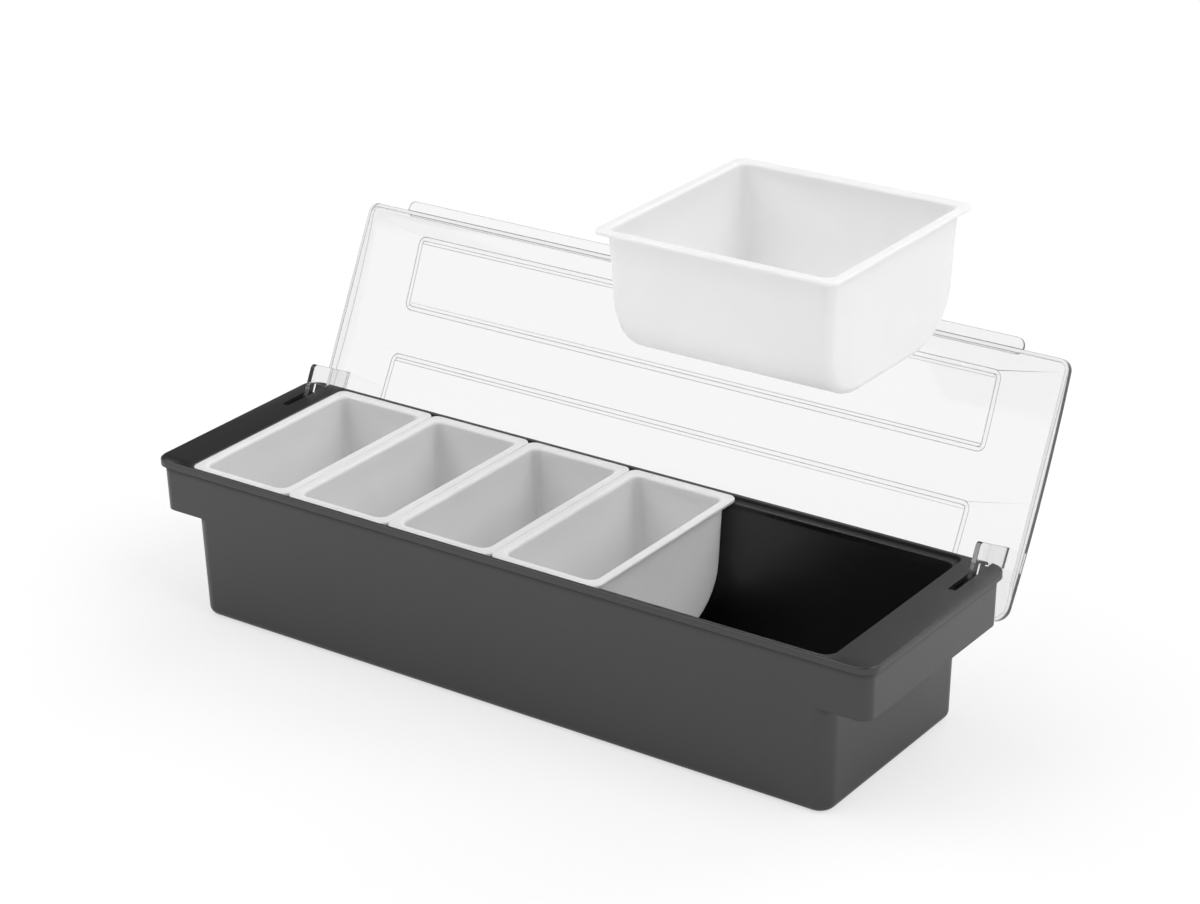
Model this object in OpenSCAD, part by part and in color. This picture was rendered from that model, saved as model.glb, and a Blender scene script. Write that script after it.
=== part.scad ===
// Condiment caddy: a deep plastic tub with a hollow handle at each end. Four single
// inserts and one double insert stand in its top, and a clear lid swings on two hooks.
// X runs along the tub, Y towards the lid's hooks and Z up. The origin is the middle
// of the tub's flat underside. The lid is drawn open and the double insert lifted out.

/* [Inserts] */
// Width of a single insert over its rim
insert_w = 74.1; // [56:0.1:100]
// Depth of every insert over its rim, front to rear
insert_d = 143.6; // [128:0.2:170]
// Height of an insert from the top of its rim to its underside
insert_h = 75; // [60:0.5:85]
// Wall thickness of an insert
insert_wall = 1.8; // [1.2:0.1:2.6]
// Thickness of an insert's rim
rim_t = 2; // [1.4:0.1:3]
// Corner radius of an insert's rim
rim_r = 5.5; // [4:0.5:9]
// Chamfer along the rim's outer edge
rim_chamfer = 0.3; // [0.2:0.1:0.8]
// Rounding where the rim turns down into the pan
mouth_r = 2; // [0.8:0.1:3]
// Radius that joins an insert's floor to its front and rear walls
toe_r = 35; // [20:1:42]
// Radius along the bottom edge of an insert's side walls
side_edge_r = 6; // [3:0.5:9]
// Slope of an insert's side walls, in degrees
side_draft = 3; // [1:0.5:5]
// Slope of an insert's front and rear walls, in degrees
end_draft = 3; // [1:0.5:5]
// Height at which the double insert is held above its bay
lift = 208; // [205:1:260]

/* [Fits] */
// Gap between the rims of neighbouring inserts
rim_gap = 0.3; // [0.3:0.1:1]
// Extra play at each end of the row of rims
row_play = 0.4; // [0.2:0.1:1]
// Gap in front of and behind each rim
rim_play = 0.3; // [0.2:0.1:1]
// Gap between the rims and the ledge under them
seat_gap = 0.2; // [0.1:0.1:0.4]
// Gap between an insert's walls and the tub's opening
pan_play = 0.3; // [0.2:0.05:0.8]

/* [Tub] */
// Height from the table to the top of the lip
tub_h = 98; // [94:1:130]
// Thickness of the tub's walls and floor
tub_wall = 2.6; // [2:0.1:3.4]
// Slope of the front and rear walls, in degrees
wall_draft = 1; // [0.5:0.1:2]
// Slope of the end walls, in degrees
tub_end_draft = 1.5; // [0.5:0.1:2.5]
// Radius of the tub's upright corners
corner_r = 10; // [8:0.5:16]
// Radius along the bottom edge of the tub
foot_r = 5; // [3:0.5:8]
// Height of the lip
lip_h = 4.2; // [3.4:0.1:6]
// How far the lip stands out from the walls
lip_out = 2.8; // [2:0.1:3.2]
// Width of the lip's border in front of and behind the rims
border_w = 2.55; // [2:0.05:4]
// Corner radius of the lip
lip_r = 10; // [8:0.5:16]
// Chamfer along the lip's top edge
lip_chamfer = 0.7; // [0.3:0.1:1.2]
// Depth of the recess that takes the rims
recess_h = 2.4; // [2.2:0.1:3]
// Width of the ledge at each end of the recess
end_ledge = 2.2; // [1.6:0.1:4]
// Width of the ledge along the front and the rear of the recess
side_ledge = 4.6; // [3:0.1:6]
// Thickness of that ledge where it stands out from the wall
ledge_t = 2.4; // [1.6:0.1:4]
// Chamfer along the inner edges of the recess and of the opening
inner_chamfer = 0.4; // [0.2:0.1:0.6]

/* [Handles] */
// Length of each handle from the recess to the end of the lip
handle_l = 26.4; // [25:0.2:45]
// Height of the handle's skirt below the top of the lip
handle_h = 33.3; // [28:0.1:50]
// Wall thickness of the skirt
skirt_t = 2.5; // [2:0.1:3.4]
// Thickness of the plate over the handle
plate_t = 2.6; // [2:0.1:3.6]
// Width of the bar that a hook hangs on, front to rear
bar_w = 9.3; // [7:0.1:12]
// How far the notch behind the bar cuts in from the rear edge
notch_d = 4.95; // [4:0.05:6]
// Radius along the bar's top edges
bar_r = 1.3; // [0.5:0.1:2]

/* [Lid] */
// Thickness of the lid
lid_t = 2.2; // [1.6:0.1:3]
// Height of the lid's skirt at its front and rear edges
lid_edge_h = 4.2; // [3.4:0.1:8]
// Extra height of the domed panel along its middle
lid_rise = 4.2; // [2:0.1:10]
// How far the lid's ends stop short of the lip's ends
lid_inset = 0.7; // [0:0.1:1.5]
// How far the lid's front edge passes the lip, or stops short of it if negative
lid_front = -1.05; // [-2:0.05:1.4]
// How far the lid's rear edge passes the lip
lid_rear = 3.25; // [3:0.05:5]
// Corner radius at the lid's front edge
lid_front_r = 6.5; // [4:0.5:12]
// Corner radius at the lid's rear edge
lid_rear_r = 9; // [4:0.5:12]
// How far the finger tab stands out from the front edge
tab_out = 6.4; // [4:0.2:10]
// Thickness of the finger tab
tab_t = 2; // [1.4:0.1:3]
// Distance from the lid's end to the finger tab's end
tab_inset = 30; // [10:1:80]
// Corner radius of the finger tab
tab_r = 5; // [2:0.5:5]
// Width of the ridge that outlines each of the two fields on the panel
ridge_w = 2.6; // [1.5:0.1:4]
// Height of the ridge
ridge_h = 0.6; // [0.3:0.1:1.2]
// Size of a field across the lid
field_w = 47.4; // [36:0.2:56]
// Distance from the lid's front and rear edges to the nearer field
field_edge = 14; // [10:0.2:18]
// Distance from the lid's end to the end of a field
field_end = 41.3; // [20:0.1:90]
// Corner radius of a field
field_r = 5; // [4:0.5:10]

/* [Hooks] */
// Thickness of a hook
hook_t = 3; // [2:0.1:4]
// Distance from the lip's end to the middle of a hook
hook_inset = 12.6; // [11:0.1:13]
// Side gap between a hook and its slot
hook_side_gap = 0.9; // [0.3:0.1:1.5]
// Width of the hook's arm
arm_w = 12; // [8:0.5:14]
// Width of the hook's leg
leg_w = 6.2; // [4:0.2:6.8]
// Length of the leg beyond the arm
leg_l = 16; // [12:0.5:18]
// Radius of the hook's outer corner
hook_r = 3; // [1:0.5:4]
// Radius of the corners at the leg's tip
tip_r = 1.5; // [0.5:0.5:1.9]
// Gap between the arm and the bar as the lid swings
arm_gap = 0.4; // [0.3:0.1:1]
// Gap between the leg and the bar with the lid open
leg_gap = 0.8; // [0.3:0.1:1.5]
// Room in front of the hook in its slot
slot_room = 2.5; // [0.5:0.5:5]

/* [Swing] */
// Angle by which the open lid leans back from upright
lean = 27; // [20:0.5:35]
// Depth of the open lid's rear edge below the top of the lip
lid_drop = 34.4; // [32:0.2:38]
// Gap between the open lid's rear edge and the tub's rear wall
rest_gap = 0.3; // [0.2:0.05:0.6]
// Gap between the shut lid and the lip
shut_gap = 0.3; // [0.2:0.05:0.6]

/* [Hidden] */
// Smoothness of true curves, of the shallow dome and of blended shapes
$fn = 96;
dome_fn = 720;
blend_fn = 32;
// A little extra length where one shape cuts or joins another
extra = 1;

// The row of inserts: single bays, then one bay of double width
single_count = 4;
bay = insert_w + rim_gap;
row_hx = (single_count + 2) * bay / 2;
double_w = 2 * insert_w + rim_gap;
double_x = row_hx - bay;

// Half sizes of the recess, the lip, the walls under it and the opening
recess_hx = row_hx + row_play;
recess_hy = insert_d / 2 + rim_play;
lip_hx = recess_hx + handle_l;
lip_hy = recess_hy + border_w;
skirt_hx = lip_hx - lip_out;
wall_hy = lip_hy - lip_out;
opening_hx = recess_hx - end_ledge;
opening_hy = recess_hy - side_ledge;
cavity_hy = wall_hy - tub_wall;
tub_hx = opening_hx + tub_wall;

// Levels of the recess's floor, the handles' lower edge and the top of the seated rims
recess_z = tub_h - recess_h;
skirt_z = tub_h - handle_h;
ledge_z = recess_z - ledge_t;
cavity_z = ledge_z - cavity_hy + opening_hy;
rim_z = recess_z + seat_gap + rim_t;
rim_out = insert_d / 2 - (opening_hy - pan_play);

// The lid's outline and the radius of its dome
lid_hx = lip_hx - lid_inset;
lid_w = lid_rear + 2 * lip_hy + lid_front;
dome_r = (lid_w * lid_w / 4 + lid_rise * lid_rise) / (2 * lid_rise);

// The lid's rear edge as [y, z], shut and open, and the point that it swings about
rear_shut = [lip_hy + lid_rear, tub_h + shut_gap];
rear_open = [wall_hy - lid_drop * tan(wall_draft) + rest_gap, tub_h - lid_drop];
swing = 90 + lean;
chord = rear_open - rear_shut;
hinge = (rear_shut + rear_open) / 2 + [chord[1], -chord[0]] / (2 * tan(swing / 2));

// The bar under each hook, and the middles of its rounded top edges
bar_rear = lip_hy - notch_d;
bar_front = bar_rear - bar_w;
bar_top_rear = [bar_rear - bar_r, tub_h - bar_r] - hinge;
bar_top_front = [bar_front + bar_r, tub_h - bar_r] - hinge;

// The hook as [y, z] from the lid's rear edge, with the lid shut
pivot = hinge - rear_shut;
arm_y = pivot[0] - norm(bar_top_rear) - bar_r - arm_gap;
leg_z = pivot[1] + bar_top_front * [cos(lean), -sin(lean)] - bar_r - leg_gap;
hook_y = arm_y - arm_w;
hook_z = leg_z - leg_w;
hook_corner = [hook_y + hook_r, hook_z + hook_r] - pivot;
hook_x = lip_hx - hook_inset;

// How far the lip's rear corners, just inside the lid's end skirts, lie from the hinge
corner_dx = lid_hx - lid_t - (lip_hx - lip_r);
corner_y = lip_hy - lip_r + sqrt(lip_r * lip_r - corner_dx * corner_dx);
corner_reach = norm([corner_y, tub_h] - hinge);

// The slot lets the hook's outer corner swing through the plate
hook_reach = norm(hook_corner) + hook_r;
plate_rise = tub_h - plate_t - hinge[1];
slot_front = hinge[0] - sqrt(hook_reach * hook_reach - plate_rise * plate_rise) - slot_room;
slot_w = hook_t + 2 * hook_side_gap;

// Draws a rectangle with round corners about the origin
module rounded_rect(hx, hy, r) {
    square([2 * hx, 2 * (hy - r)], center = true);
    square([2 * (hx - r), 2 * hy], center = true);
    for (sx = [-1, 1], sy = [-1, 1])
        translate([sx * (hx - r), sy * (hy - r)]) circle(r);
}

// Repeats a shape at the four corners of a rectangle
module at_corners(hx, hy) {
    for (sx = [-1, 1], sy = [-1, 1])
        translate([sx * hx, sy * hy, 0]) children();
}

// Sweeps an edge outline around a rectangle with round corners. The child draws the
// outline for a given half width, $half, from the middle outwards.
module swept_edge(hx, hy, r) {
    at_corners(hx - r, hy - r) rotate_extrude() {
        $half = r;
        children();
    }
    rotate([90, 0, 90]) linear_extrude(2 * (hx - r), center = true) {
        $half = hy;
        children();
        mirror([1, 0]) children();
    }
    rotate([90, 0, 0]) linear_extrude(2 * (hy - r), center = true) {
        $half = hx;
        children();
        mirror([1, 0]) children();
    }
}

// A plate with round corners and a chamfered top edge
module chamfered_plate(hx, hy, r, h, chamfer) {
    swept_edge(hx, hy, r)
        polygon([[0, 0], [$half, 0], [$half, h - chamfer], [$half - chamfer, h], [0, h]]);
}

// A flat plate with round corners, as four discs to be blended
module corner_discs(hx, hy, r, z, h) {
    at_corners(hx - r, hy - r) translate([0, 0, z]) cylinder(h = h, r = r, $fn = blend_fn);
}

// A disc whose lower edge is rounded
module button(r, edge_r, h) {
    rotate_extrude($fn = blend_fn) {
        square([r - edge_r, h]);
        translate([0, edge_r]) square([r, h - edge_r]);
        intersection() {
            translate([r - edge_r, edge_r]) circle(edge_r, $fn = blend_fn);
            square(r);
        }
    }
}

// A block that narrows downwards, with upright corners and a rounded foot
module drafted_block(hx, hy, r, bottom, top, foot, z_full) {
    drop = z_full - bottom;
    foot_hx = hx - drop * tan(tub_end_draft);
    foot_hy = hy - drop * tan(wall_draft);
    hull() {
        corner_discs(hx, hy, r, z_full, top - z_full);
        at_corners(foot_hx - r, foot_hy - r)
            translate([0, 0, bottom]) button(r, foot, foot + extra / 2);
    }
}

// The skirt of both handles as one block between two levels
module skirt_block(hx, hy, r, bottom, top) {
    drop = tub_h - lip_h - bottom;
    hull() {
        corner_discs(hx, hy, r, tub_h - lip_h, top - tub_h + lip_h);
        corner_discs(hx - drop * tan(tub_end_draft), hy - drop * tan(wall_draft), r, bottom, extra / 4);
    }
}

// Cuts the slot, the notch and the rounded edges of the bar at one hook
module hook_cuts() {
    translate([-slot_w / 2, slot_front, tub_h - plate_t - extra])
        cube([slot_w, bar_front - slot_front, plate_t + 2 * extra]);
    translate([-slot_w / 2, bar_rear, tub_h - lip_h])
        cube([slot_w, notch_d + extra, lip_h + extra]);
    for (edge = [[bar_front, 1], [bar_rear, -1]])
        translate([0, edge[0], tub_h]) mirror([0, edge[1] < 0 ? 1 : 0, 0]) bar_edge();
}

// The sliver that is taken off one top edge of the bar
module bar_edge() {
    translate([-slot_w / 2, 0, 0]) rotate([90, 0, 90]) linear_extrude(slot_w) difference() {
        translate([-extra, -bar_r]) square([bar_r + extra, bar_r + extra]);
        translate([bar_r, -bar_r]) circle(bar_r);
        translate([bar_r - extra / 100, -bar_r]) square([extra, bar_r]);
    }
}

// An upright hole with round corners and a chamfer around its upper end
module chamfered_hole(hx, hy, r, bottom, top) {
    swept_edge(hx, hy, r)
        polygon([[0, bottom], [$half, bottom], [$half, top - inner_chamfer],
            [$half + inner_chamfer + extra, top + extra], [0, top + extra]]);
}

module body() {
    color([0.26, 0.27, 0.28]) difference() {
        union() {
            difference() {
                union() {
                    skirt_block(skirt_hx, wall_hy, lip_r - lip_out, skirt_z, tub_h - lip_h + extra);
                    translate([0, 0, tub_h - lip_h])
                        chamfered_plate(lip_hx, lip_hy, lip_r, lip_h, lip_chamfer);
                }
                skirt_block(skirt_hx - skirt_t, wall_hy - skirt_t, lip_r - lip_out - skirt_t / 2,
                    skirt_z - extra, tub_h - plate_t);
            }
            drafted_block(tub_hx, wall_hy, corner_r, 0, tub_h - plate_t / 2, foot_r, tub_h - lip_h);
        }
        drafted_block(opening_hx, cavity_hy, corner_r - tub_wall, tub_wall, cavity_z,
            foot_r - tub_wall / 2, cavity_z - extra);
        hull() {
            corner_discs(opening_hx, cavity_hy, corner_r - tub_wall, cavity_z - extra, extra);
            corner_discs(opening_hx, opening_hy, corner_r - tub_wall, ledge_z, extra);
        }
        chamfered_hole(opening_hx, opening_hy, corner_r - tub_wall, ledge_z, recess_z);
        chamfered_hole(recess_hx, recess_hy, rim_r + rim_play, recess_z, tub_h);
        for (side = [-1, 1])
            translate([side * hook_x, 0, 0]) hook_cuts();
    }
}

// One toe of an insert: the lower part of a disc on edge, leaning with the side wall
module toe(side, r, edge_r) {
    rotate([0, side * side_draft, 0]) difference() {
        rotate([0, side * -90, 0]) button(r, edge_r, 2 * edge_r);
        translate([-r, -2 * r, r / 4]) cube([2 * r, 4 * r, r]);
    }
}

// The pan of an insert as a solid, its walls moved in by the given amount
module pan(w, inset, top) {
    top_hx = w / 2 - rim_out - inset;
    top_hy = insert_d / 2 - rim_out - inset;
    r = toe_r - inset;
    edge_r = side_edge_r - inset / 2;
    drop = insert_h - rim_t - toe_r;
    toe_hx = top_hx - drop * tan(side_draft);
    toe_hy = top_hy - drop * tan(end_draft) - r;
    flat_hx = toe_hx - 2 * edge_r;
    hull() {
        corner_discs(top_hx, top_hy, rim_r + insert_wall - inset, -rim_t, rim_t + top);
        translate([-flat_hx, -toe_hy, inset - insert_h]) cube([2 * flat_hx, 2 * toe_hy, extra]);
        for (side = [-1, 1], end = [-1, 1])
            translate([side * toe_hx, end * toe_hy, toe_r - insert_h]) toe(side, r, edge_r);
    }
}

// The rounding between the rim and the pan, as the space that it opens
module mouth(w) {
    inset = rim_out + insert_wall;
    swept_edge(w / 2 - inset, insert_d / 2 - inset, rim_r) difference() {
        translate([0, -mouth_r]) square([$half + mouth_r, mouth_r + extra]);
        translate([$half + mouth_r, -mouth_r]) circle(mouth_r);
    }
}

// An insert with the top of its rim at the origin's level
module insert(w) {
    color([0.93, 0.93, 0.91]) difference() {
        union() {
            translate([0, 0, -rim_t]) chamfered_plate(w / 2, insert_d / 2, rim_r, rim_t, rim_chamfer);
            pan(w, 0, 0);
        }
        pan(w, insert_wall, extra);
        mouth(w);
    }
}

// Single inserts are numbered from the left
module single_insert(number) {
    translate([(number - 0.5) * bay - row_hx, 0, rim_z]) insert(insert_w);
}

module large_insert() {
    translate([double_x, 0, rim_z + lift]) insert(double_w);
}

// The lid's outline, with its rear edge on the X axis
module lid_outline(inset) {
    hx = lid_hx - inset;
    front = inset - lid_w;
    rear_r = lid_rear_r - inset;
    front_r = lid_front_r - inset;
    translate([-hx, front + front_r]) square([2 * hx, lid_w - 2 * inset - front_r - rear_r]);
    translate([rear_r - hx, -inset - 2 * rear_r]) square([2 * (hx - rear_r), 2 * rear_r]);
    translate([front_r - hx, front]) square([2 * (hx - front_r), 2 * front_r]);
    for (sx = [-1, 1]) {
        translate([sx * (hx - rear_r), -inset - rear_r]) circle(rear_r);
        translate([sx * (hx - front_r), front + front_r]) circle(front_r);
    }
}

// Everything under the lid's dome, raised or lowered by an offset
module under_dome(offset_r) {
    translate([0, -lid_w / 2, lid_edge_h + lid_rise - dome_r]) rotate([0, 90, 0])
        cylinder(h = 2 * lid_hx + extra, r = dome_r + offset_r, center = true, $fn = dome_fn);
}

module lid_shell() {
    dome_top = lid_edge_h + lid_rise;
    difference() {
        intersection() {
            linear_extrude(dome_top + extra) lid_outline(0);
            under_dome(0);
        }
        intersection() {
            translate([0, 0, -extra]) linear_extrude(dome_top + 2 * extra) lid_outline(lid_t);
            under_dome(-lid_t);
        }
    }
}

// The ridge around one field, following the dome
module field_ridge(y) {
    hx = lid_hx - field_end;
    difference() {
        intersection() {
            translate([0, y, 0]) linear_extrude(lid_edge_h + lid_rise + extra) difference() {
                rounded_rect(hx, field_w / 2, field_r);
                rounded_rect(hx - ridge_w, field_w / 2 - ridge_w, field_r - ridge_w);
            }
            under_dome(ridge_h);
        }
        under_dome(-lid_t / 2);
    }
}

module finger_tab() {
    hx = lid_hx - tab_inset;
    linear_extrude(tab_t) {
        translate([-hx, -lid_w - tab_out + tab_r]) square([2 * hx, tab_out - tab_r + lid_t / 2]);
        translate([tab_r - hx, -lid_w - tab_out]) square([2 * (hx - tab_r), 2 * tab_r]);
        for (sx = [-1, 1])
            translate([sx * (hx - tab_r), tab_r - lid_w - tab_out]) circle(tab_r);
    }
}

// The L shape of a hook, from the panel down to the leg that turns back under the bar
module hook_outline() {
    tip_y = arm_y + leg_l;
    translate([hook_y, hook_z + hook_r]) square([arm_w, lid_edge_h + lid_rise - hook_z - hook_r]);
    translate([hook_y + hook_r, hook_z]) square([tip_y - tip_r - hook_y - hook_r, leg_w]);
    translate([tip_y - 2 * tip_r, hook_z + tip_r]) square([2 * tip_r, leg_w - 2 * tip_r]);
    translate([hook_y + hook_r, hook_z + hook_r]) circle(hook_r);
    for (z = [hook_z + tip_r, leg_z - tip_r])
        translate([tip_y - tip_r, z]) circle(tip_r);
}

module hook() {
    intersection() {
        translate([-hook_t / 2, 0, 0]) rotate([90, 0, 90]) linear_extrude(hook_t) hook_outline();
        translate([hook_inset - lip_hx, 0, 0]) under_dome(-lid_t / 2);
    }
}

// The arches in the end skirts that pass over the lip's rear corners
module corner_relief() {
    for (side = [-1, 1])
        translate([side * lid_hx, pivot[0], pivot[1]]) rotate([0, 90, 0])
            cylinder(h = 2 * (lid_t + extra), r = corner_reach + arm_gap, center = true);
}

// The lid, shut, with its rear edge on the X axis
module shut_lid() {
    difference() {
        lid_shell();
        corner_relief();
    }
    for (y = [-field_edge - field_w / 2, field_edge + field_w / 2 - lid_w])
        field_ridge(y);
    finger_tab();
    for (side = [-1, 1])
        translate([side * hook_x, 0, 0]) hook();
}

module lid() {
    color([0.86, 0.92, 0.95, 0.4])
        translate([0, hinge[0], hinge[1]]) rotate([-swing, 0, 0])
            translate([0, -pivot[0], -pivot[1]]) shut_lid();
}

body();
single_insert(1);  // insert_1
single_insert(2);  // insert_2
single_insert(3);  // insert_3
single_insert(4);  // insert_4
large_insert();
lid();
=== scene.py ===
"""A condiment caddy on a white studio floor: charcoal tub, milky white inserts, clear hooked lid.

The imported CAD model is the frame. Every node keeps its shape and gets a finish of its own.
All lengths are in metres.
"""
import math

import bpy
from mathutils import Matrix, Vector

# The photograph's frame, in pixels, and the camera that it was taken with
PHOTO_W = 1200
PHOTO_H = 904
FOCAL_PX = 3189.0
PRINCIPAL_PX = (545.6, 379.3)
CAMERA_PLACE = (0.98774, -1.35234, 0.86879)
CAMERA_TURN = math.radians(36.42)
CAMERA_DIP = math.radians(22.36)
CAMERA_ROLL = math.radians(-1.286)
SENSOR_W = 36.0
CLIP_RANGE = 0.01, 50

MM = 0.001

# The studio. A strength of 1 is white, and suns are in watts per square metre.
FLOOR_RADIUS = 12
FLOOR_DROP = 0.2 * MM
FLOOR_ROUGHNESS = 0.9
FLOOR_SHADE = 0.9
FLOOR_SEEN = 0.37
FLOOR_GLOW = 0.61
GLOSS_GLOW = 0.08
WORLD_FILL = 0.12
CEILING = 0.04
CEILING_SEEN_THROUGH = 0.1
CEILING_FROM = 0.08
CEILING_TO = 0.27
KEY_SUN = 0.95
TOP_SUN = 0.2
FRONT_SUN = 0.88
RIGHT_SUN = 1.42
BACK_SUN = 1.08

# The finishes: two shades that blend in soft clouds, and the least and most roughness
CHARCOAL_SHADES = (0.0066, 0.0066, 0.0069), (0.0084, 0.0084, 0.0087)
CHARCOAL_ROUGHNESS = 0.31, 0.38
CHARCOAL_SPECULAR = 0.8
MILKY_SHADES = (0.83, 0.83, 0.83), (0.86, 0.86, 0.86)
MILKY_ROUGHNESS = 0.36, 0.44
MILKY_SPECULAR = 0.4
SCATTER_DEPTH = 4.5 * MM
CLEAR_SHADE = (0.95, 0.95, 0.95)
# The grey of the lid's painted shade on its slants and turned edges
CLEAR_PAINTED_SHADE = (0.05, 0.05, 0.05)
CLEAR_ROUGHNESS = 0.015, 0.04
CLEAR_IOR = 1.5
CLEAR_DENSITY = 30.0
CLEAR_IN_SHADOW = (0.96, 0.96, 0.96, 1)

# The charcoal is dull where less than this share of what lies within reach is open
CORNER_REACH = 5 * MM
CORNER_OPENNESS = 0.7, 0.98
CORNER_SAMPLES = 8

# Painted shade on the lid: it is tinted grey where it slants from the eye, and where an edge
# turns it within reach
SLANT_FROM = 0.8
SLANT_PAINTED_SHADE = 0.6
TURN_REACH = 0.7 * MM
TURN_LIKENESS = 0.9, 0.998
TURN_SAMPLES = 6

# The meshes: edges sharper than these are creased or rounded, and close points are one
CREASE_DEG = 50
BEVEL_DEG = 60
EDGE_RADII = {"lid": 0.2 * MM}
WELD = 0.01 * MM
INSERTS = ["insert_1", "insert_2", "insert_3", "insert_4", "large_insert"]


# ---------------------------------------------------------------- shader helpers


def larger(nodes, links, first, second):
    """The larger of two values."""
    node = nodes.new("ShaderNodeMath")
    node.operation = "MAXIMUM"
    links.new(first, node.inputs[0])
    links.new(second, node.inputs[1])
    return node.outputs["Value"]


def seen_rays(nodes, links, *others):
    """One for a camera ray and for the other kinds of ray named, and zero for the rest."""
    rays = nodes.new("ShaderNodeLightPath")
    total = rays.outputs["Is Camera Ray"]
    for kind in others:
        total = larger(nodes, links, total, rays.outputs[kind])
    return total


class Tree:
    """A material's nodes, made and joined in short lines, with places in the object's space."""

    def __init__(self, name):
        self.material = bpy.data.materials.new(name)
        self.material.use_nodes = True
        self.nodes = self.material.node_tree.nodes
        self.links = self.material.node_tree.links
        self.shader = self.nodes["Principled BSDF"]
        self.output = self.nodes["Material Output"]
        coordinates = self.add("ShaderNodeTexCoord")
        self.place = coordinates.outputs["Object"]

    def add(self, kind, **settings):
        node = self.nodes.new(kind)
        for key, value in settings.items():
            setattr(node, key, value)
        return node

    def join(self, source, target):
        self.links.new(source, target)

    def noise(self, scale, detail=2.0, roughness=0.5, stretch=(1, 1, 1)):
        """A noise pattern in the object's own space, with scale in cells per metre."""
        mapping = self.add("ShaderNodeMapping")
        mapping.inputs["Scale"].default_value = stretch
        self.join(self.place, mapping.inputs["Vector"])
        node = self.add("ShaderNodeTexNoise")
        node.inputs["Scale"].default_value = scale
        node.inputs["Detail"].default_value = detail
        node.inputs["Roughness"].default_value = roughness
        self.join(mapping.outputs["Vector"], node.inputs["Vector"])
        return node.outputs["Fac"]

    def spread(self, source, low, high, start=0.3, end=0.7):
        """Maps a value between start and end to one between low and high."""
        node = self.add("ShaderNodeMapRange")
        node.inputs["From Min"].default_value = start
        node.inputs["From Max"].default_value = end
        node.inputs["To Min"].default_value = low
        node.inputs["To Max"].default_value = high
        self.join(source, node.inputs["Value"])
        return node.outputs["Result"]

    def blend(self, source, first, second, start=0.3, end=0.7):
        """Mixes two colours by a value between start and end."""
        node = self.add("ShaderNodeMix", data_type="RGBA")
        node.inputs["A"].default_value = (*first, 1)
        node.inputs["B"].default_value = (*second, 1)
        self.join(self.spread(source, 0, 1, start, end), node.inputs["Factor"])
        return node.outputs["Result"]

    def turn_within(self, radius):
        """One on a plain face, and less where an edge turns the surface within the radius."""
        rounded = self.add("ShaderNodeBevel", samples=TURN_SAMPLES)
        rounded.inputs["Radius"].default_value = radius
        surface = self.add("ShaderNodeNewGeometry")
        likeness = self.add("ShaderNodeVectorMath", operation="DOT_PRODUCT")
        self.join(rounded.outputs["Normal"], likeness.inputs[0])
        self.join(surface.outputs["Normal"], likeness.inputs[1])
        size = self.add("ShaderNodeMath", operation="ABSOLUTE")
        self.join(likeness.outputs["Value"], size.inputs[0])
        return size.outputs["Value"]

    def bump(self, source, height, strength, below=None):
        """Raises the surface by a pattern whose full height is given in metres."""
        node = self.add("ShaderNodeBump")
        node.inputs["Distance"].default_value = height
        node.inputs["Strength"].default_value = strength
        self.join(source, node.inputs["Height"])
        if below is not None:
            self.join(below, node.inputs["Normal"])
        return node.outputs["Normal"]


# ---------------------------------------------------------------- materials


def charcoal_plastic():
    """Charcoal plastic with a fine spark-eroded grain, a soft sheen and dull inner corners."""
    tree = Tree("charcoal_plastic")
    grain = tree.noise(2600, detail=3, roughness=0.6)
    pebble = tree.noise(900)
    cloud = tree.noise(28, detail=3, roughness=0.55)
    tree.join(tree.blend(cloud, *CHARCOAL_SHADES), tree.shader.inputs["Base Color"])
    corner = tree.add("ShaderNodeAmbientOcclusion", samples=CORNER_SAMPLES, only_local=True)
    corner.inputs["Distance"].default_value = CORNER_REACH
    openness = tree.spread(corner.outputs["AO"], 0, 1, *CORNER_OPENNESS)
    dull = tree.add("ShaderNodeMix")
    dull.inputs["A"].default_value = 1.0
    tree.join(openness, dull.inputs["Factor"])
    tree.join(tree.spread(pebble, *CHARCOAL_ROUGHNESS), dull.inputs["B"])
    tree.join(dull.outputs["Result"], tree.shader.inputs["Roughness"])
    coarse = tree.bump(pebble, height=0.05 * MM, strength=0.35)
    fine = tree.bump(grain, height=0.03 * MM, strength=0.5, below=coarse)
    tree.join(fine, tree.shader.inputs["Normal"])
    tree.shader.inputs["Specular IOR Level"].default_value = CHARCOAL_SPECULAR
    return tree.material


def milky_plastic():
    """Satin white polypropylene that light scatters in."""
    tree = Tree("milky_plastic")
    cloud = tree.noise(22)
    flow = tree.noise(60, stretch=(1, 1, 0.25))
    grain = tree.noise(1800)
    tree.join(tree.blend(cloud, *MILKY_SHADES), tree.shader.inputs["Base Color"])
    tree.join(tree.spread(flow, *MILKY_ROUGHNESS), tree.shader.inputs["Roughness"])
    fine = tree.bump(grain, height=0.01 * MM, strength=0.4)
    tree.join(fine, tree.shader.inputs["Normal"])
    tree.shader.inputs["Subsurface Weight"].default_value = 1.0
    tree.shader.inputs["Subsurface Radius"].default_value = (1, 1, 1)
    tree.shader.inputs["Subsurface Scale"].default_value = SCATTER_DEPTH
    tree.shader.inputs["Specular IOR Level"].default_value = MILKY_SPECULAR
    return tree.material


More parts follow.
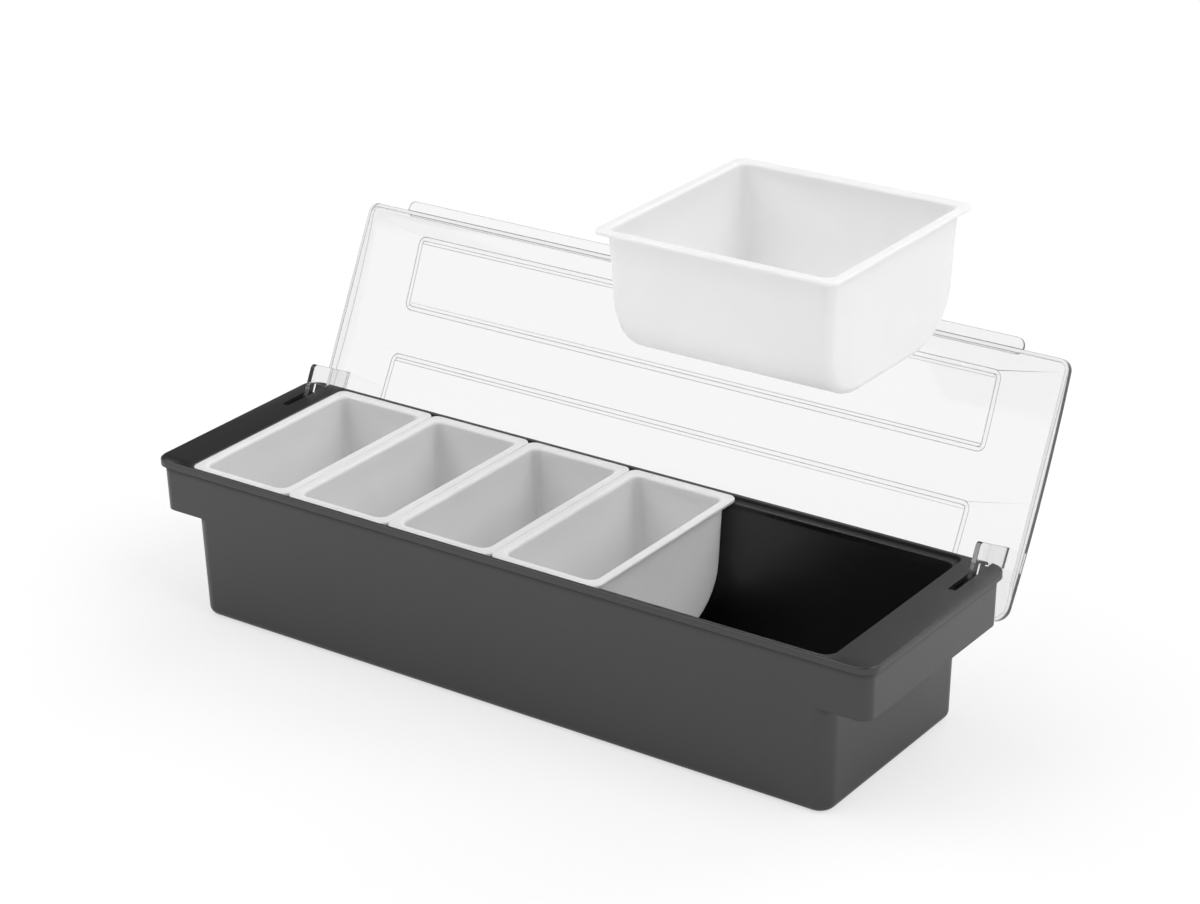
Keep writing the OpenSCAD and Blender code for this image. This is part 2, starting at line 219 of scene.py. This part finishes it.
def clear_plastic():
    """Clear plastic that lets the lamps through, with painted shade: it is tinted grey where it
    slants or turns an edge.
    """
    tree = Tree("clear_plastic")
    ripple = tree.noise(14)
    waves = tree.bump(ripple, height=0.15 * MM, strength=0.3)
    tree.join(waves, tree.shader.inputs["Normal"])
    haze = tree.noise(40)
    tree.join(tree.spread(haze, *CLEAR_ROUGHNESS), tree.shader.inputs["Roughness"])
    slant = tree.add("ShaderNodeLayerWeight")
    slant.inputs["Blend"].default_value = 0.5
    # Painted shade: a grey tint where the lid slants from the eye and where its edges turn
    slant_painted_shade = tree.spread(slant.outputs["Facing"], 0, SLANT_PAINTED_SHADE, SLANT_FROM, 1.0)
    edge_painted_shade = tree.spread(tree.turn_within(TURN_REACH), 1, 0, *TURN_LIKENESS)
    # The painted shade's strength is the larger of the slant's and the turned edge's
    edge = larger(tree.nodes, tree.links, slant_painted_shade, edge_painted_shade)
    tint = tree.blend(edge, CLEAR_SHADE, CLEAR_PAINTED_SHADE, 0, 1)
    tree.join(tint, tree.shader.inputs["Base Color"])
    tree.shader.inputs["Transmission Weight"].default_value = 1
    tree.shader.inputs["IOR"].default_value = CLEAR_IOR
    clear = tree.add("ShaderNodeBsdfTransparent")
    clear.inputs["Color"].default_value = CLEAR_IN_SHADOW
    rays = tree.add("ShaderNodeLightPath")
    mix = tree.add("ShaderNodeMixShader")
    tree.join(rays.outputs["Is Shadow Ray"], mix.inputs["Fac"])
    tree.join(tree.shader.outputs["BSDF"], mix.inputs[1])
    tree.join(clear.outputs["BSDF"], mix.inputs[2])
    tree.join(mix.outputs["Shader"], tree.output.inputs["Surface"])
    body = tree.add("ShaderNodeVolumeAbsorption")
    body.inputs["Color"].default_value = (0.0, 0.0, 0.0, 1)
    body.inputs["Density"].default_value = CLEAR_DENSITY
    tree.join(body.outputs["Volume"], tree.output.inputs["Volume"])
    return tree.material


def floor_paper():
    """Paper that shows as pure white, also through the lid, and still takes the shadow."""
    tree = Tree("floor_paper")
    seen = seen_rays(tree.nodes, tree.links, "Is Transmission Ray")
    shade = tree.add("ShaderNodeMix", data_type="RGBA")
    shade.inputs["A"].default_value = (FLOOR_SHADE, FLOOR_SHADE, FLOOR_SHADE, 1)
    shade.inputs["B"].default_value = (FLOOR_SEEN, FLOOR_SEEN, FLOOR_SEEN, 1)
    tree.join(seen, shade.inputs["Factor"])
    tree.join(shade.outputs["Result"], tree.shader.inputs["Base Color"])
    tree.shader.inputs["Roughness"].default_value = FLOOR_ROUGHNESS
    tree.shader.inputs["Specular IOR Level"].default_value = 0
    glow = tree.add("ShaderNodeEmission")
    glow.inputs["Color"].default_value = (1, 1, 1, 1)
    rays = tree.add("ShaderNodeLightPath")
    in_gloss = tree.add("ShaderNodeMath", operation="MULTIPLY")
    tree.join(rays.outputs["Is Glossy Ray"], in_gloss.inputs[0])
    in_gloss.inputs[1].default_value = GLOSS_GLOW
    strength = tree.add("ShaderNodeMix")
    tree.join(seen, strength.inputs["Factor"])
    tree.join(in_gloss.outputs[0], strength.inputs["A"])
    strength.inputs["B"].default_value = FLOOR_GLOW
    tree.join(strength.outputs["Result"], glow.inputs["Strength"])
    both = tree.add("ShaderNodeAddShader")
    tree.join(tree.shader.outputs["BSDF"], both.inputs[0])
    tree.join(glow.outputs["Emission"], both.inputs[1])
    tree.join(both.outputs["Shader"], tree.output.inputs["Surface"])
    return tree.material


# ---------------------------------------------------------------- studio


def white_world():
    """A studio that looks white, with a dim ceiling in gloss and glass, and a soft fill."""
    world = bpy.data.worlds.new("studio")
    bpy.context.scene.world = world
    world.use_nodes = True
    nodes, links = world.node_tree.nodes, world.node_tree.links
    background = nodes["Background"]
    background.inputs["Color"].default_value = (1, 1, 1, 1)
    rays = nodes.new("ShaderNodeLightPath")
    place = nodes.new("ShaderNodeTexCoord")
    split = nodes.new("ShaderNodeSeparateXYZ")
    links.new(place.outputs["Generated"], split.inputs["Vector"])
    ceiling = nodes.new("ShaderNodeMapRange")
    ceiling.interpolation_type = "SMOOTHSTEP"
    ceiling.inputs["From Min"].default_value = CEILING_FROM
    ceiling.inputs["From Max"].default_value = CEILING_TO
    ceiling.inputs["To Min"].default_value = 1.0
    links.new(split.outputs["Z"], ceiling.inputs["Value"])
    darkest = nodes.new("ShaderNodeMix")
    darkest.inputs["A"].default_value = CEILING
    darkest.inputs["B"].default_value = CEILING_SEEN_THROUGH
    links.new(rays.outputs["Is Transmission Ray"], darkest.inputs["Factor"])
    links.new(darkest.outputs["Result"], ceiling.inputs["To Max"])
    in_view = larger(nodes, links, rays.outputs["Is Camera Ray"], ceiling.outputs["Result"])
    strength = nodes.new("ShaderNodeMix")
    strength.inputs["A"].default_value = WORLD_FILL
    seen = seen_rays(nodes, links, "Is Transmission Ray", "Is Glossy Ray")
    links.new(seen, strength.inputs["Factor"])
    links.new(in_view, strength.inputs["B"])
    links.new(strength.outputs["Result"], background.inputs["Strength"])


def floor():
    """A wide round floor, a hair under the caddy's flat base."""
    bpy.ops.mesh.primitive_circle_add(vertices=96, radius=FLOOR_RADIUS, fill_type="NGON")
    disc = bpy.context.object
    disc.name = "floor"
    disc.location.z = -FLOOR_DROP
    disc.data.materials.append(floor_paper())


def soft_sun(name, toward, spread_deg, power):
    """A distant soft lamp, so that the floor is lit alike all over."""
    lamp = bpy.data.lights.new(name, "SUN")
    lamp.angle = math.radians(spread_deg)
    lamp.energy = power
    holder = bpy.data.objects.new(name, lamp)
    bpy.context.scene.collection.objects.link(holder)
    holder.matrix_world = Vector(toward).to_track_quat("Z", "Y").to_matrix().to_4x4()


def lights():
    """Five soft suns all round, as in a light tent."""
    soft_sun("key_sun", (-0.8, -0.15, 1.1), 50, KEY_SUN)
    soft_sun("top_sun", (0, 0, 1), 70, TOP_SUN)
    soft_sun("front_sun", (-0.35, -1.0, 0.9), 60, FRONT_SUN)
    soft_sun("right_sun", (0.9, 0.1, 0.8), 50, RIGHT_SUN)
    soft_sun("back_sun", (0.1, 1.0, 0.8), 50, BACK_SUN)


def camera():
    """The photograph's own camera, from its place, turn, dip and roll."""
    turn, dip, roll = CAMERA_TURN, CAMERA_DIP, CAMERA_ROLL
    ahead = Vector((
        -math.sin(turn) * math.cos(dip),
        math.cos(turn) * math.cos(dip),
        -math.sin(dip),
    ))
    level = Vector((math.cos(turn), math.sin(turn), 0))
    up = level.cross(ahead)
    right = level * math.cos(roll) + up * math.sin(roll)
    top = up * math.cos(roll) - level * math.sin(roll)
    lens = bpy.data.cameras.new("photo_camera")
    lens.sensor_width = SENSOR_W
    lens.lens = FOCAL_PX * SENSOR_W / PHOTO_W
    lens.shift_x = (PHOTO_W / 2 - PRINCIPAL_PX[0]) / PHOTO_W
    lens.shift_y = (PRINCIPAL_PX[1] - PHOTO_H / 2) / PHOTO_W
    lens.clip_start, lens.clip_end = CLIP_RANGE
    eye = bpy.data.objects.new("photo_camera", lens)
    bpy.context.scene.collection.objects.link(eye)
    basis = Matrix((right, top, -ahead)).transposed().to_4x4()
    eye.matrix_world = Matrix.Translation(CAMERA_PLACE) @ basis
    bpy.context.scene.camera = eye


# ---------------------------------------------------------------- the object


def geometry_group(name, build):
    """An empty geometry group, which build fills in between its input and output."""
    group = bpy.data.node_groups.new(name, "GeometryNodeTree")
    group.interface.new_socket("Geometry", in_out="INPUT", socket_type="NodeSocketGeometry")
    group.interface.new_socket("Geometry", in_out="OUTPUT", socket_type="NodeSocketGeometry")
    source = group.nodes.new("NodeGroupInput")
    target = group.nodes.new("NodeGroupOutput")
    result = build(group.nodes, group.links, source.outputs[0])
    group.links.new(result, target.inputs[0])
    return group


def join_faces(nodes, links, geometry):
    """Welds the CAD faces' edges and drops their flat normals."""
    merge = nodes.new("GeometryNodeMergeByDistance")
    merge.inputs["Distance"].default_value = WELD
    strip = nodes.new("GeometryNodeRemoveAttribute")
    strip.inputs["Name"].default_value = "custom_normal"
    links.new(geometry, merge.inputs["Geometry"])
    links.new(merge.outputs["Geometry"], strip.inputs["Geometry"])
    return strip.outputs["Geometry"]


def crease_edges(nodes, links, geometry):
    """Shades smooth, but for the edges that turn more than the crease angle."""
    soft = nodes.new("GeometryNodeSetShadeSmooth")
    soft.domain = "FACE"
    soft.inputs["Shade Smooth"].default_value = True
    angle = nodes.new("GeometryNodeInputMeshEdgeAngle")
    sharp = nodes.new("FunctionNodeCompare")
    sharp.operation = "GREATER_THAN"
    sharp.inputs["B"].default_value = math.radians(CREASE_DEG)
    crease = nodes.new("GeometryNodeSetShadeSmooth")
    crease.domain = "EDGE"
    crease.inputs["Shade Smooth"].default_value = False
    links.new(geometry, soft.inputs["Geometry"])
    links.new(soft.outputs["Geometry"], crease.inputs["Geometry"])
    links.new(angle.outputs["Unsigned Angle"], sharp.inputs["A"])
    links.new(sharp.outputs["Result"], crease.inputs["Selection"])
    return crease.outputs["Geometry"]


def soften_edges(node, width):
    """Rounds a node's square moulded edges."""
    bevel = node.modifiers.new("soft_edges", "BEVEL")
    bevel.width = width
    bevel.segments = 2
    bevel.limit_method = "ANGLE"
    bevel.angle_limit = math.radians(BEVEL_DEG)
    bevel.use_clamp_overlap = False


def dress(frame):
    """Gives each CAD node its finish and smooth shading, and rounds the edges of those listed in
    EDGE_RADII.
    """
    finishes = {"body": charcoal_plastic(), "lid": clear_plastic()}
    white = milky_plastic()
    for name in INSERTS:
        finishes[name] = white
    weld = geometry_group("join_faces", join_faces)
    smooth = geometry_group("crease_edges", crease_edges)
    for name, node in frame["nodes"].items():
        node.data.materials.clear()
        node.data.materials.append(finishes[name])
        node.modifiers.new("join_faces", "NODES").node_group = weld
        if name in EDGE_RADII:
            soften_edges(node, EDGE_RADII[name])
        node.modifiers.new("crease_edges", "NODES").node_group = smooth
        level = node.modifiers.new("level_faces", "WEIGHTED_NORMAL")
        level.keep_sharp = True


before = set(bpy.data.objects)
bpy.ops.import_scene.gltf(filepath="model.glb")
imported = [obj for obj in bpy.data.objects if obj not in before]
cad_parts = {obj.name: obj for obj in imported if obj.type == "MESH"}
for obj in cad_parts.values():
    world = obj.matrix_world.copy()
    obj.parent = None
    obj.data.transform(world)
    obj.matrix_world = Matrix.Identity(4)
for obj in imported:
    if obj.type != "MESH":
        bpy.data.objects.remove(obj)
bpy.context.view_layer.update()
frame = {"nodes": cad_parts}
dress(frame)
white_world()
floor()
lights()
camera()
scene = bpy.context.scene
scene.view_settings.view_transform = "Standard"
